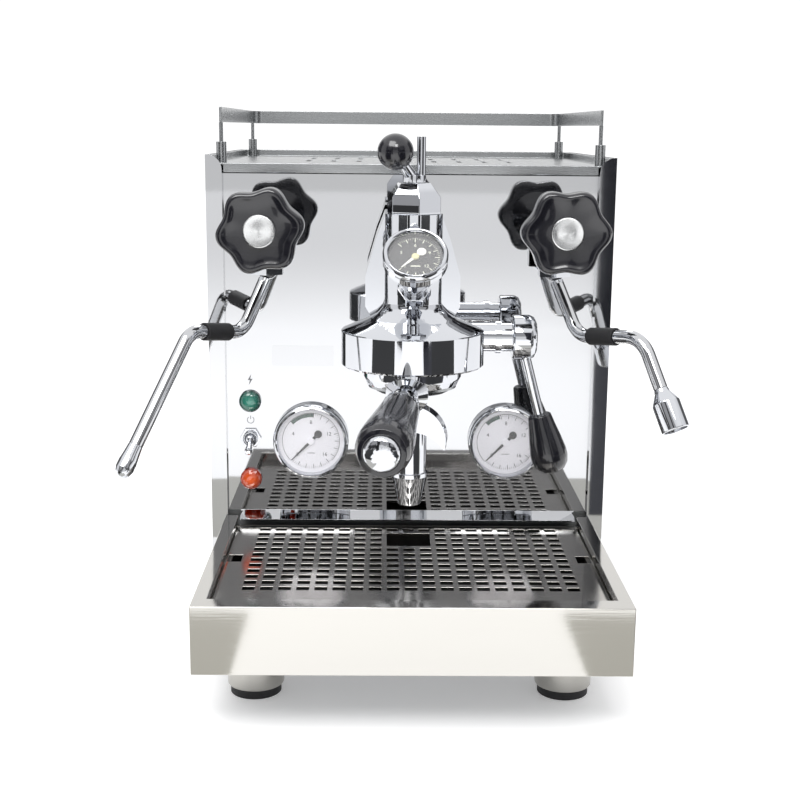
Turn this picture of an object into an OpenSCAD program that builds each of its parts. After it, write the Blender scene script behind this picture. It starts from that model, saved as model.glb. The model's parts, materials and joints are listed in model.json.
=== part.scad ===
// Lever-group espresso machine with a mirror-finished steel casing.
// Origin: on the counter, below the middle of the whole machine's box.
// +X right, +Y towards the back, +Z up, millimetres. The modules draw about the middle of the
// casing's front edge, and placed() moves every part to the origin.

/* [Casing] */
// Width over the side panels
body_w = 300; // [290:1:360]
// Depth of the casing, front flange to back panel
body_d = 265; // [255:1:320]
// Height of the side panels' top edge
body_h = 359; // [352:1:432]
// Thickness of the casing sheet
sheet = 1.5; // [1:0.1:2]
// Width of the side panels' front flange
flange_w = 12; // [10:0.5:15]
// How far the front panel sits behind the flanges
recess = 5; // [4:0.5:8]
// Depth of the cup tray's floor below the side panels' top edge
tray_sink = 6; // [4:0.5:9]

/* [Feet] */
// Height of the feet
foot_h = 42; // [34:1:50]
// Diameter of the steel foot cups
foot_d = 38.8; // [30:0.2:46]
// Height of the rubber that shows under each cup
pad_h = 6; // [3:0.5:10]
// Sideways distance of the feet from the middle
foot_x = 105.4; // [90:0.2:110]

/* [Drip tray] */
// Length of the tray in front of the casing
tray_l = 198; // [190:1:240]
// Height of the tray's front face
tray_h = 45.3; // [38:0.1:54]
// Width of the tray's flat rim
rim_w = 9.5; // [7:0.5:12]
// Depth of the grille below the rim
grille_sink = 7.2; // [4:0.1:10]
// Columns of slots in the grille
slot_cols = 19; // [13:2:19]
// Rows of slots in the grille
slot_rows = 12; // [8:1:13]
// Width of a slot
slot_w = 8.2; // [5:0.1:9]
// Length of a slot, front to back
slot_l = 6.8; // [4:0.1:9]

/* [Cup rail] */
// Height of the rail strip
rail_h = 11; // [8:0.5:16]
// Gap between the cup tray's floor and the rail strip
rail_gap = 29; // [20:1:50]
// Diameter of the rail's rods
rod_d = 3; // [2.4:0.1:4]
// Diameter of the rods' collars
collar_d = 7.5; // [6:0.1:9]

/* [Brew group] */
// Distance from the casing's front edge to the group's axis
group_y = 100; // [95:1:125]
// Height of the bell's lower edge
bell_z = 223.5; // [220:0.5:262]
// Radius of the bell
bell_r = 47.8; // [46:0.1:58]
// Radius of the upper column
column_r = 19; // [17:0.1:23]
// Radius of the portafilter's cup
cup_r = 33; // [31:0.1:34]
// Turn of the portafilter's handle from straight ahead, to the left
handle_turn = 7.7; // [0:0.1:20]
// Length of the portafilter from the group's axis to the handle's end
handle_l = 156; // [145:1:190]

/* [Brew lever] */
// Radius of the lever's shaft
shaft_r = 6; // [4.5:0.1:7.2]
// Distance from the middle to the lever's hub
hub_x = 71.6; // [66:0.1:84]
// Length of the lever from the shaft's axis to the grip's end
lever_l = 102; // [85:1:110]

/* [Valves and wands] */
// Height of the valve knobs' axis below the side panels' top edge
knob_drop = 48; // [42:1:60]
// Distance of a knob's axis from the side of the casing
knob_side = 47.5; // [40:0.5:50]
// Radius of a knob over its lobes
knob_r = 30.2; // [24:0.1:36]
// Thickness of a knob
knob_t = 23; // [18:1:27]
// Radius of the valve spindles
spindle_r = 4; // [3:0.1:5]
// Radius of the wands' ball joints
ball_r = 7.5; // [6.2:0.1:9]
// Radius of the wand pipes
pipe_r = 4.8; // [4.1:0.1:5.8]
// Thickness of the rubber sleeves on the wands
sleeve_t = 1.3; // [1:0.1:2.5]
// Angle by which the wands point forwards from straight sideways
wand_turn = 55; // [35:1:70]

/* [Gauges and switches] */
// Sideways distance of the panel gauges from the middle
gauge_x = 74; // [66:1:84]
// Height of the panel gauges' centres
gauge_z = 145.5; // [130:0.5:160]
// Radius of the panel gauges' bezels
gauge_r = 28.5; // [24:0.1:34]
// Radius of the group gauge's bezel
mini_r = 20.5; // [18:0.1:25]
// Tilt of the group gauge's face above straight ahead
mini_tilt = 45; // [30:1:60]
// Distance of the lamps and the toggle from the side of the casing
lamp_side = 30; // [26:1:36]
// Radius of a lamp's lens
lamp_r = 8.3; // [6.5:0.1:10]

/* [Hidden] */
$fn = 64;
eps = 0.1;
run_gap = 0.05;       // radial clearance of a shaft in its bore
part_gap = 0.3;       // clearance between parts that move past each other
half_w = body_w / 2;
base_z = foot_h;      // underside of the base sheet
base_t = 2.5;
floor_z = base_z + base_t;
panel_y = recess;     // front face of the mirror panel
panel_z0 = base_z + 48;
panel_z1 = body_h - tray_sink - 7.5;
flange_r = flange_w - 1;
lip_drop = 5.4;       // fall of the front panel's bottom lip
lip_out = 8;

tray_w = body_w - 2 * (flange_w - 1);
tray_z0 = base_z + 0.4;
tray_z1 = tray_z0 + tray_h;
tray_wall = 1.5;
ledge = 4;
front_rim = 14;
basin_z = floor_z + part_gap;
grille_z1 = tray_z1 - grille_sink;
grille_t = 1.5;
grille_w = tray_w - 2 * rim_w - 2.4;
grille_y0 = -tray_l + front_rim + 0.6;
grille_y1 = -6.5;
slot_px = (grille_w - 2 * 14.6) / slot_cols;
slot_py = 11.75;

cup_z = body_h - tray_sink;        // cup tray's floor
rail_z = cup_z + rail_gap;
rail_x = half_w - 10.6;
rail_t = 1.8;
rail_r = 8;
rail_y0 = 9.6;
post_y0 = 12.6;
rail_y1 = body_d - 10;

bell_h = 24;
bell_top = bell_z + 33.5;
column_top = bell_z + 100.5;
neck_z = bell_z + 66;
neck_r = 22;
groove_r = cup_r + 8;
bell_o = max(bell_r, groove_r + 2);   // the bell always covers the bayonet groove
drain_y = group_y - cup_r - 17;       // the drain keeps clear of the portafilter
rim_r = cup_r + 1.5;
ear_r = cup_r + 6.5;
seal_z = bell_z + 8.1;
shaft_z = bell_z + 11;
barrel_r = shaft_r + 4.2;
hub_w = 17;
hub_r = 16;
lever_lean = 15;
grip_l = 44;
drain_z = grille_z1 + 31.5;

valve_z = body_h - knob_drop;
valve_x = half_w - knob_side;
outlet_y = 31;
ball_z = valve_z - 31.5;
nut_z0 = ball_z - 3.5;
valve_end = 68;       // front end of the valve barrel
knob_y = valve_end + 4;
pipe_start = ball_r + 0.7;             // the pipe begins just outside its ball
// A wand runs in an upright plane: u is the distance outwards from its ball, z the height.
// Its corners are [u, z], and each inner corner has a bend radius.
steam_corners = [[0.378 * pipe_start, ball_z - 0.926 * pipe_start], [28, ball_z - 42.1], [81.3, ball_z - 35.4],
    [134.5, ball_z - 103.5]];
steam_bends = [17, 15];
steam_sleeve = 43.2;  // start of its sleeve
water_corners = [[0.378 * pipe_start, ball_z - 0.926 * pipe_start], [27, ball_z - 43.4], [88.6, ball_z - 36.1],
    [107.7, ball_z - 68]];
water_bends = [17, 20];
water_sleeve = 40;
sleeve_l = 25;

stem_y = group_y + column_r + 2;
stem_z = bell_top + 13;
mini_l = 48;
needle_rest = 225;    // direction of a needle at zero, seen from the front
toggle_rest = 23;
arm_tilt = 46;        // lean of the flow ball's arm
lamp_x = -(half_w - lamp_side);
green_z = gauge_z + 30;
orange_z = gauge_z - 30.5;
toggle_z = gauge_z + 1.5;

// middle of the whole box, from the casing's front edge
mid_x = (reach(water_corners, 31) - reach(steam_corners, 20.8)) / 2;
function reach(c, tip) = max(half_w - knob_side + (c[3][0] + tip) * cos(wand_turn), half_w);
mid_y = (body_d - group_y - handle_l + 1) / 2;

// Moves a part from the casing's front edge to the origin
module placed() { translate([-mid_x, -mid_y, 0]) children(); }

// A box given by its low and high corners
module box(a, b) { translate(a) cube(b - a); }

// A cylinder along Y, from y0 back to y1
module along_y(x, z, y0, y1, r) {
    translate([x, y1, z]) rotate([90, 0, 0]) cylinder(r = r, h = y1 - y0);
}

// A profile in the Y-Z plane, extruded over the width w about the middle
module across(w) { translate([-w / 2, 0, 0]) rotate([90, 0, 90]) linear_extrude(w) children(); }

// The left side's copy of a right-hand shape
module flipped(s) { mirror([s > 0 ? 0 : 1, 0, 0]) children(); }

// A point at angle a and distance l from the middle
function turn(a, l) = [l * cos(a), l * sin(a)];

// ---- casing ----

module base_frame() {
    w = half_w - sheet - 2;
    color("#9a9c9e") difference() {
        union() {
            box([-w, panel_y + 3, base_z], [w, body_d - 2 * sheet, floor_z]);
            box([-tray_w / 2 + 7, 12.6 - tray_l, base_z], [tray_w / 2 - 7, panel_y + 3, floor_z]);
            for (x = [-w, w - sheet])
                box([x, panel_y + 3, floor_z], [x + sheet, body_d - 2 * sheet, floor_z + 20]);
            for (y = [[panel_y + 3, panel_z0 - 1], [body_d - 3 * sheet, floor_z + 20]])
                box([-w + sheet, y[0], floor_z], [w - sheet, y[0] + sheet, y[1]]);
        }
        for (p = foot_places()) translate([p[0], p[1], base_z - 1]) cylinder(r = 3.3, h = base_t + 2);
        for (x = [-90:20:90])
            box([x - 3, 170, base_z - 1], [x + 3, 215, floor_z + 1]);
    }
}

function foot_places() = [for (x = [-foot_x, foot_x]) for (y = [74 - tray_l, body_d - 40]) [x, y]];

module front_panel() {
    color("#dcdedf") difference() {
        union() {
            box([-half_w + sheet + 2.5, panel_y, panel_z0],
                [half_w - sheet - 2.5, panel_y + sheet, panel_z1]);
            difference() {
                across(tray_w - 2 * rim_w - 2)
                    polygon([[panel_y, panel_z0], [panel_y + sheet, panel_z0],
                        [panel_y + sheet, panel_z0 - 0.7],
                        [panel_y - lip_out + 0.7, panel_z0 - lip_drop - 1.1],
                        [panel_y - lip_out, panel_z0 - lip_drop]]);
                for (s = [-1, 1]) translate([s * (tray_w / 2 - rim_w - 1), 0, panel_z0 - 10])
                    rotate([0, 0, s * 24]) translate([s > 0 ? 0 : -20, -20, 0]) cube([20, 40, 9.3]);
            }
        }
        along_y(0, neck_z, panel_y - 1, panel_y + sheet + 1, neck_r + part_gap);
        for (s = [-1, 1]) {
            along_y(s * valve_x, valve_z, panel_y - 1, panel_y + sheet + 1, 10.3);
            along_y(s * gauge_x, gauge_z, panel_y - 1, panel_y + sheet + 1, gauge_r - 2.2);
        }
        for (z = [green_z, orange_z])
            along_y(lamp_x, z, panel_y - 1, panel_y + sheet + 1, lamp_r - 1);
        along_y(lamp_x, toggle_z, panel_y - 1, panel_y + sheet + 1, 6.2);
    }
}

module side_panel(s) {
    flipped(s) color("#cfd2d3") {
        box([half_w - sheet, 0, base_z], [half_w, body_d, body_h]);
        // front flange, with its inner top corner rounded
        difference() {
            box([half_w - flange_w, 0, base_z], [half_w - sheet, sheet, body_h]);
            difference() {
                box([half_w - flange_w - 1, -1, body_h - flange_r],
                    [half_w - flange_w + flange_r, sheet + 1, body_h + 1]);
                along_y(half_w - flange_w + flange_r, body_h - flange_r, -2, sheet + 2, flange_r);
            }
        }
        box([half_w - flange_w, sheet, base_z], [half_w - flange_w + sheet, panel_y, body_h - flange_r]);
        box([half_w - flange_w, body_d - sheet, base_z], [half_w - sheet, body_d, body_h - tray_sink]);
        // ledge that carries the cup tray
        box([half_w - 9, 30, cup_z - 3 * sheet], [half_w - sheet, body_d - 30, cup_z - sheet - part_gap]);
    }
}

module left_side_panel() { side_panel(-1); }
module right_side_panel() { side_panel(1); }

module back_panel() {
    w = half_w - sheet - 0.2;
    color("#b9bcbe") difference() {
        box([-w, body_d - 2 * sheet, base_z], [w, body_d - sheet, cup_z - sheet - part_gap]);
        for (x = [-100:20:100]) for (z = [body_h - 140, body_h - 85])
            box([x - 2, body_d - 3 * sheet, z], [x + 2, body_d, z + 40]);
        box([-109, body_d - 3 * sheet, floor_z + 26], [-81, body_d, floor_z + 48]);
    }
}

module inlet_socket() {
    color("#1c1c1e") difference() {
        union() {
            box([-108.8, body_d - 28, floor_z + 26.2], [-81.2, body_d - sheet, floor_z + 47.8]);
            box([-113, body_d - sheet, floor_z + 22], [-77, body_d, floor_z + 52]);
        }
        box([-107, body_d - 20, floor_z + 28], [-83, body_d + 1, floor_z + 46]);
    }
}

module foot_cups() {
    color("#c4c6c7") for (p = foot_places()) translate([p[0], p[1], 0]) rotate_extrude()
        polygon([[0, pad_h + 6], [foot_d / 2 - 2, pad_h + 6], [foot_d / 2 - 2, pad_h],
            [foot_d / 2 - 0.8, pad_h], [foot_d / 2, pad_h + 0.8], [foot_d / 2, base_z - 5],
            [foot_d / 2 - 3, base_z - 2], [12, base_z - 2], [12, base_z], [3, base_z],
            [3, floor_z], [0, floor_z]]);
}

module foot_pads() {
    color("#141414") for (p = foot_places()) translate([p[0], p[1], 0])
        cylinder(r = foot_d / 2 - 2.1, h = pad_h + 5.9);
}

module cup_tray() {
    w = half_w - sheet - 0.5;
    color("#c9cbcc") difference() {
        union() {
            box([-w, panel_y - 1, cup_z - sheet], [w, body_d - 3.5, cup_z]);
            for (x = [-w, w - sheet])
                box([x, panel_y + 10, cup_z], [x + sheet, body_d - 3.5, body_h - 0.5]);
            box([-w + sheet, body_d - 3.5 - sheet, cup_z], [w - sheet, body_d - 3.5, body_h - 0.5]);
            box([-half_w + flange_w + 0.4, panel_y - 1, panel_z1 + 0.6],
                [half_w - flange_w - 0.4, panel_y - 1 + sheet, cup_z - sheet]);
        }
        for (x = [-80:20:80]) for (y = [70, 150])
            box([x - 2, y, cup_z - 3], [x + 2, y + 50, cup_z + 1]);
    }
}

module cup_rail() {
    l = rail_y1 - rail_r - rail_y0;
    color("#a9abac") translate([0, 0, rail_z]) {
        for (s = [-1, 1]) {
            translate([s * rail_x - rail_t / 2, rail_y0, 0]) cube([rail_t, l, rail_h]);
            translate([s * (rail_x - rail_r), rail_y1 - rail_r, 0]) rotate([0, 0, s > 0 ? 0 : 90])
                rotate_extrude(angle = 90) translate([rail_r - rail_t / 2, 0]) square([rail_t, rail_h]);
        }
        translate([-rail_x + rail_r, rail_y1 - rail_t / 2, 0])
            cube([2 * (rail_x - rail_r), rail_t, rail_h]);
    }
}

module rail_posts() {
    color("#b5b7b8") for (x = [-rail_x, rail_x]) for (y = [post_y0, rail_y1 - rail_r])
        translate([x, y, cup_z]) {
            cylinder(d = rod_d, h = rail_gap);
            difference() {
                cylinder(d = collar_d, h = 15);
                translate([0, 0, 13]) cylinder(d = collar_d - 2, h = 3);
            }
        }
}

// ---- drip tray ----

module drip_tray() {
    w = tray_w / 2;
    inner = w - rim_w;
    ledge_z = grille_z1 - grille_t;
    color("#d4d5d3") difference() {
        union() {
            // skirts and rim, bent from one sheet
            difference() {
                box([-w, -tray_l - 0.6, tray_z0], [w, -0.5, tray_z1]);
                box([-w + tray_wall, -tray_l - 0.6 + tray_wall, tray_z0 - 1],
                    [w - tray_wall, 1, tray_z1 - tray_wall]);
            }
            // basin: a wide band that holds the grille, and the sump below it
            box([-inner - tray_wall, -tray_l + front_rim - tray_wall, ledge_z - tray_wall],
                [inner + tray_wall, -3.5, tray_z1 - tray_wall]);
            box([-inner + ledge - tray_wall, -tray_l + front_rim + ledge - tray_wall, basin_z],
                [inner - ledge + tray_wall, -3.5, ledge_z - tray_wall]);
        }
        box([-inner, -tray_l + front_rim, ledge_z], [inner, -3.5 - tray_wall, tray_z1 + 1]);
        box([-inner, -3.6 - tray_wall, grille_z1], [inner, 0, tray_z1 + 1]);
        box([-inner + ledge, -tray_l + front_rim + ledge, basin_z + tray_wall],
            [inner - ledge, -3.5 - ledge, ledge_z + 1]);
    }
}

module drip_grille() {
    color("#b4b6b6") translate([0, 0, grille_z1 - grille_t]) linear_extrude(grille_t) difference() {
        translate([-grille_w / 2, grille_y0]) square([grille_w, grille_y1 - grille_y0]);
        for (i = [0:slot_cols - 1]) for (j = [0:slot_rows - 1]) {
            c = i - (slot_cols - 1) / 2;
            if (abs(c) > 1 || j < 1 || j > 3)
                translate([c * slot_px - slot_w / 2, -15.5 - j * slot_py - slot_l / 2])
                    square([slot_w, slot_l]);
        }
        // opening under the drain nozzle
        translate([-slot_px - slot_w / 2, -15.5 - 3 * slot_py - slot_l / 2])
            square([2 * slot_px + slot_w, 2 * slot_py + slot_l]);
        // finger notches in both sides
        for (s = [-1, 1]) translate([s * grille_w / 2 - 10, -91]) square([20, 15]);
    }
}

// ---- lamps, toggle and gauges on the front panel ----

module lamp(z) {
    translate([lamp_x, panel_y, z]) rotate([90, 0, 0]) {
        rotate_extrude() polygon([[0, 0], [lamp_r, 0], [lamp_r, 2.5], [lamp_r - 0.8, 4.4],
            [lamp_r - 3, 5.8], [0, 6.6]]);
        translate([0, 0, -22]) cylinder(r = lamp_r - 1.3, h = 22);
    }
}

module green_lamp() { color("#1f7a5c") lamp(green_z); }
module orange_lamp() { color("#d9480f") lamp(orange_z); }

module toggle_body() {
    color("#b9bbbd") translate([lamp_x, panel_y, toggle_z]) rotate([90, 0, 0]) difference() {
        union() {
            cylinder(r = 8.1, h = 2.4, $fn = 6);
            cylinder(r = 5.6, h = 6.5);
            translate([0, 0, -4]) cylinder(r = 5.9, h = 4);
            translate([-6.5, -9, -24]) cube([13, 18, 20]);
        }
        translate([0, 0, 5]) sphere(r = 4.3);
        translate([0, 0, 5]) cylinder(r = 4.9, h = 2);
        translate([0, 0, 5]) cylinder(r1 = 2.6, r2 = 5.4, h = 1.6);
    }
}

// The bat pivots on a ball inside the bushing
module toggle_lever() {
    color("#d8dadb") translate([lamp_x, panel_y - 5, toggle_z]) rotate([90 + toggle_rest, 0, 0]) {
        sphere(r = 3.9);
        rotate_extrude() polygon([[0, 0], [1.9, 0], [1.7, 3.5], [2.1, 9], [2.9, 15], [2.7, 16.6], [1.6, 17.4],
            [0, 17.6]]);
    }
}

// Gauge pieces are drawn about the face's centre, facing -Y.
// r is the bezel's radius and back the depth of the can behind the bezel.
module gauge_case(r, back) {
    rotate([90, 0, 0]) rotate_extrude() polygon([[0, -back], [r - 2.5, -back], [r - 2.5, -9.5], [r, -9.5],
        [r, -1.5], [r - 1.5, 0], [r - 2.6, 0], [r - 3.4, -1.6], [r - 3.4, -6.5], [0, -6.5]]);
}

module gauge_dial(r) { along_y(0, 0, 5.3, 6.4, r - 3.6); }
module gauge_glass(r) { along_y(0, 0, 1.8, 3, r - 3.6); }

module gauge_needle(r) {
    l = r - 8;
    tail = r * 0.27;
    rotate([0, -needle_rest, 0]) translate([0, 4.9, 0]) rotate([90, 0, 0]) linear_extrude(0.7) union() {
        circle(r = 2.1);
        polygon([[-tail, -1.1], [0, -1.1], [l, -0.3], [l, 0.3], [0, 1.1], [-tail, 1.1]]);
        translate([-tail, 0]) circle(r = 2.9);
    }
}

module on_panel(x) { translate([x, panel_y - 9.5, gauge_z]) children(); }

module on_group() {
    translate([0, -stem_y, stem_z]) rotate([-mini_tilt, 0, 0]) translate([0, -mini_l, 0]) children();
}

module panel_gauge_cases() {
    color("#c7c9ca") for (s = [-1, 1]) on_panel(s * gauge_x) gauge_case(gauge_r, 38);
}

module panel_gauge_dials() {
    color("#f4f4f2") for (s = [-1, 1]) on_panel(s * gauge_x) gauge_dial(gauge_r);
}

module panel_gauge_glasses() {
    color("#e8f0f4") for (s = [-1, 1]) on_panel(s * gauge_x) gauge_glass(gauge_r);
}

module left_needle() { color("#2b2b30") on_panel(-gauge_x) gauge_needle(gauge_r); }
module right_needle() { color("#2b2b30") on_panel(gauge_x) gauge_needle(gauge_r); }

module group_gauge_case() { color("#c7c9ca") on_group() gauge_case(mini_r, 13); }
module group_gauge_dial() { color("#3c414b") on_group() gauge_dial(mini_r); }
module group_gauge_glass() { color("#e8f0f4") on_group() gauge_glass(mini_r); }
module group_gauge_needle() { color("#f2f2ee") on_group() gauge_needle(mini_r); }

// Tapered adapter between the gauge and the group's front port
module gauge_stem() {
    color("#c2c4c6") on_group() rotate([-90, 0, 0]) {
        translate([0, 0, 13]) rotate_extrude() polygon([[0, 0], [mini_r - 3.5, 0], [mini_r - 5, 4],
            [10, 17], [6.5, 20], [6.5, 24], [0, 24]]);
        translate([0, 0, 37]) cylinder(r = 11, h = 6.5, $fn = 6);
        translate([0, 0, 43.5]) cylinder(r = 5, h = mini_l - 43.5 + 2);
    }
}

// ---- brew group ----

module group_body() {
    color("#c9cbcd") difference() {
        union() {
            translate([0, -group_y, 0]) {
                rotate_extrude() polygon([[0, bell_z], [bell_o - 1.2, bell_z], [bell_o, bell_z + 1.2],
                    [bell_o, bell_z + bell_h - 1], [bell_o - 1, bell_z + bell_h], [40, bell_z + bell_h + 3],
                    [30, bell_top - 2.5], [24, bell_top + 1], [column_r + 1, bell_top + 5],
                    [column_r, bell_top + 9], [column_r, column_top], [0, column_top]]);
            }
            // casting behind the column, wider at its foot
            translate([0, -22, 0]) rotate([90, 0, 0]) linear_extrude(group_y - 32)
                polygon([[-28, bell_top - 3], [28, bell_top - 3], [32, bell_top + 4], [32, neck_z - 8],
                    [25, column_top - 18], [19, column_top - 2], [-19, column_top - 2],
                    [-25, column_top - 18], [-32, neck_z - 8], [-32, bell_top + 4]]);
            along_y(0, neck_z, -30, panel_y + 8, neck_r);
            translate([0, -drain_y, bell_z]) cylinder(r = 19, h = neck_z - bell_z - 16);
            // barrel of the lever's shaft
            translate([0, -drain_y, shaft_z]) rotate([0, 90, 0]) cylinder(r = barrel_r, h = hub_x - part_gap);
            translate([hub_x - 12, -drain_y, shaft_z]) rotate([0, 90, 0]) cylinder(r = barrel_r + 1.3, h = 4);
        }
        // bayonet groove, gasket seat and screen seat
        translate([0, -group_y, 0]) {
            translate([0, 0, bell_z - 1]) cylinder(r = cup_r + 3.2, h = 4);
            translate([0, 0, bell_z + 1.8]) cylinder(r = groove_r, h = seal_z - bell_z - 1.8);
            translate([0, 0, seal_z - eps]) cylinder(r = rim_r + 1.9, h = 8 + eps);
            translate([0, 0, seal_z]) cylinder(r = 9, h = 24);
            rotate([0, 0, -handle_turn - 40]) box([-groove_r, -13, bell_z - 1], [groove_r, 13, bell_z + 2]);
            translate([0, 0, column_top - 30]) cylinder(r = 7, h = 31);
        }
        translate([-20, -drain_y, shaft_z]) rotate([0, 90, 0])
            cylinder(r = shaft_r + run_gap, h = hub_x + 21);
        on_group() rotate([-90, 0, 0]) translate([0, 0, 43.5]) {
            cylinder(r = 5, h = mini_l - 43.5 + 2);
            translate([0, 0, -8]) cylinder(r = 11, h = 8);
        }
    }
}

module group_cap() {
    color("#d0d2d4") translate([0, -group_y, 0]) difference() {
        union() {
            rotate([0, 0, 9.4 + 30]) {
                translate([0, 0, column_top]) cylinder(r = column_r - 0.4, h = 11, $fn = 6);
                translate([0, 0, column_top + 11]) cylinder(r1 = column_r - 0.4, r2 = 11.5, h = 9, $fn = 6);
            }
            translate([0, 0, column_top - 12]) cylinder(r = 6.9, h = 18);
        }
        translate([0, 0, column_top - 14]) cylinder(r = 3 + run_gap, h = 40);
    }
}

// Control spindle of the flow valve, with its collar, pointer post and arm
module flow_spindle() {
    top = column_top + 20;
    color("#c6c8ca") translate([0, -group_y, 0]) {
        translate([0, 0, column_top - 24]) cylinder(r = 3, h = 45);
        translate([0, 0, top + 0.3]) cylinder(r = 7.6, h = 4.7);
        translate([4.4, 0, top + 4]) cylinder(r = 3, h = 25.6);
        translate([-2, -2, top + 4]) rotate([arm_tilt, 0, -40]) cylinder(r1 = 4, r2 = 3, h = 14);
    }
}

module on_arm() {
    translate([-2, -group_y - 2, column_top + 24]) rotate([arm_tilt, 0, -40]) children();
}

module flow_ball() {
    color("#161618") on_arm() difference() {
        translate([0, 0, 23]) sphere(r = 11.7);
        cylinder(r = 4.4, h = 14);
    }
}

module drain_nozzle() {
    color("#c6c8ca") translate([0, -drain_y, 0]) {
        translate([0, 0, drain_z + 24]) cylinder(r = 12, h = bell_z - drain_z - 24);
        translate([0, 0, drain_z]) cylinder(r1 = 8.5, r2 = 13, h = 21, $fn = 10);
        translate([0, 0, drain_z + 21]) cylinder(r = 13.2, h = 3);
    }
}

module group_gasket() {
    color("#1b1b1b") translate([0, -group_y, seal_z]) difference() {
        cylinder(r = rim_r + 1.8, h = 7.9);
        translate([0, 0, -1]) cylinder(r = cup_r - 3.5, h = 10);
    }
}

module shower_screen() {
    color("#b7b9bb") translate([0, -group_y, seal_z + 1.5]) difference() {
        cylinder(r = cup_r - 3.7, h = 4);
        for (r = [7, 14, 21]) for (a = [0:360 / r:359])
            rotate([0, 0, a]) translate([r, 0, -1]) cylinder(r = 0.8, h = 3);
        translate([0, 0, 1]) cylinder(r = cup_r - 4.5, h = 4);
    }
}

// ---- brew lever ----

module on_lever() { translate([hub_x + 6, -drain_y, shaft_z]) rotate([0, 180 - lever_lean, 0]) children(); }

module brew_lever() {
    color("#c9cbcd") {
        translate([hub_x, -drain_y, shaft_z]) rotate([0, 90, 0]) rotate_extrude()
            polygon([[0, 0], [hub_r - 1, 0], [hub_r, 1], [hub_r, hub_w - 5], [hub_r - 1.7, hub_w - 1.7],
                [hub_r - 5, hub_w], [0, hub_w]]);
        translate([-15, -drain_y, shaft_z]) rotate([0, 90, 0]) cylinder(r = shaft_r, h = hub_x + 16);
        on_lever() translate([0, 0, 8]) cylinder(r = 3.8, h = lever_l - grip_l - 8 + 14);
    }
}

module lever_grip() {
    color("#141416") on_lever() translate([0, 0, lever_l - grip_l]) difference() {
        rotate_extrude() polygon([[0, 0], [7.4, 0], [8.4, 1], [9.6, 8], [11.6, 18], [13.2, 28], [13.2, 33],
            [12, 38], [9.2, 41.8], [5, 43.6], [0, 44]]);
        translate([0, 0, -1]) cylinder(r = 3.85, h = 15.1);
    }
}

// ---- portafilter ----

module turned() { translate([0, -group_y, 0]) rotate([0, 0, -handle_turn]) children(); }

module on_handle() { turned() translate([0, 0, bell_z - 12.5]) rotate([94.6, 0, 0]) children(); }

module portafilter_body() {
    color("#c8cacc") difference() {
        union() {
            turned() {
                rotate_extrude() polygon([[0, bell_z - 20.5], [12, bell_z - 20.5], [cup_r - 9, bell_z - 17.5],
                    [cup_r - 2.5, bell_z - 12.5], [cup_r, bell_z - 7], [cup_r, bell_z + 2.5],
                    [rim_r, bell_z + 2.5], [rim_r, bell_z + 7], [0, bell_z + 7]]);
                intersection() {
                    box([-ear_r, -10, bell_z + 2.3], [ear_r, 10, bell_z + 6.5]);
                    cylinder(r = ear_r, h = bell_z + 20);
                }
            }
            // neck of the handle, slim where it passes below the bell
            on_handle() rotate_extrude() polygon([[0, 20], [14, 20], [14, 30], [8, 35.4], [8, 50],
                [10.4, 52.5], [10.4, 62], [12.4, 64], [12.4, 69], [0, 69]]);
        }
        turned() {
            translate([0, 0, bell_z - 16.5]) cylinder(r = cup_r - 2.8, h = 30);
            translate([0, 0, bell_z - 22]) cylinder(r = 4, h = 8);
        }
    }
}

module filter_basket() {
    r = cup_r - 3.4;
    color("#bcbec0") turned() difference() {
        union() {
            translate([0, 0, bell_z - 14.5]) cylinder(r = r, h = 21.6);
            translate([0, 0, bell_z + 7]) cylinder(r = r + 3.6, h = 0.8);
        }
        translate([0, 0, bell_z - 13.7]) cylinder(r = r - 0.8, h = 30);
    }
}

// Twin spout: an arched open channel below a round boss
module portafilter_spout() {
    z0 = bell_z - 51.5;
    color("#cfd1d3") turned() {
        difference() {
            rotate([90, 0, 0]) translate([0, 0, -7]) linear_extrude(14) arch(z0, 24);
            for (s = [-1, 1]) flipped(s) rotate([90, 0, 0]) translate([0, 0, -5.2]) linear_extrude(10.4)
                intersection() {
                    arch(z0 - 1, 23.2);
                    translate([7.5, z0 - 30]) square([40, 80]);
                }
        }
        translate([0, 0, bell_z - 30.5]) cylinder(r = 8, h = 10);
    }
}

module arch(z, r) {
    difference() {
        translate([0, z]) circle(r = r);
        translate([0, z - 22]) circle(r = 28);
        translate([-40, z - 50]) square([80, 43]);
    }
}

module portafilter_grip() {
    color("#141416") on_handle() rotate_extrude() polygon([[0, 69], [11.5, 69], [12.6, 71], [13.4, 84],
        [14.8, 104], [16.4, 126], [16.8, 138], [16.2, 146], [14.2, 150.4], [11.4, 151.4],
        [10.9, handle_l - 5], [0, handle_l - 5]]);
}

module portafilter_cap() {
    color("#d3d5d6") on_handle() translate([0, 0, handle_l - 5]) rotate_extrude()
        polygon([[0, 0], [10.8, 0], [10.6, 1.6], [9.2, 3.4], [6, 4.8], [0, 5.4]]);
}

// ---- valves and wands ----

module valve_bodies() {
    color("#bfc1c3") for (s = [-1, 1]) difference() {
        union() {
            along_y(s * valve_x, valve_z, -valve_end, panel_y, 12);
            along_y(s * valve_x, valve_z, panel_y, panel_y + 16, 10);
            along_y(s * valve_x, valve_z, -valve_end - 3, -valve_end, 8);
            translate([s * valve_x, -outlet_y, nut_z0 + 2]) cylinder(r = 10, h = valve_z - nut_z0 - 2);
            translate([s * valve_x, -outlet_y, nut_z0]) rotate([0, 0, 30])
                cylinder(r = 12.6, h = 13, $fn = 6);
        }
        along_y(s * valve_x, valve_z, -valve_end - 4, -valve_end + 40, spindle_r + run_gap);
        translate([s * valve_x, -outlet_y, ball_z]) {
            sphere(r = ball_r + part_gap);
            translate([0, 0, -4]) cylinder(r = sqrt(pow(ball_r + part_gap, 2) - 12), h = 0.6);
        }
    }
}

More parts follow.
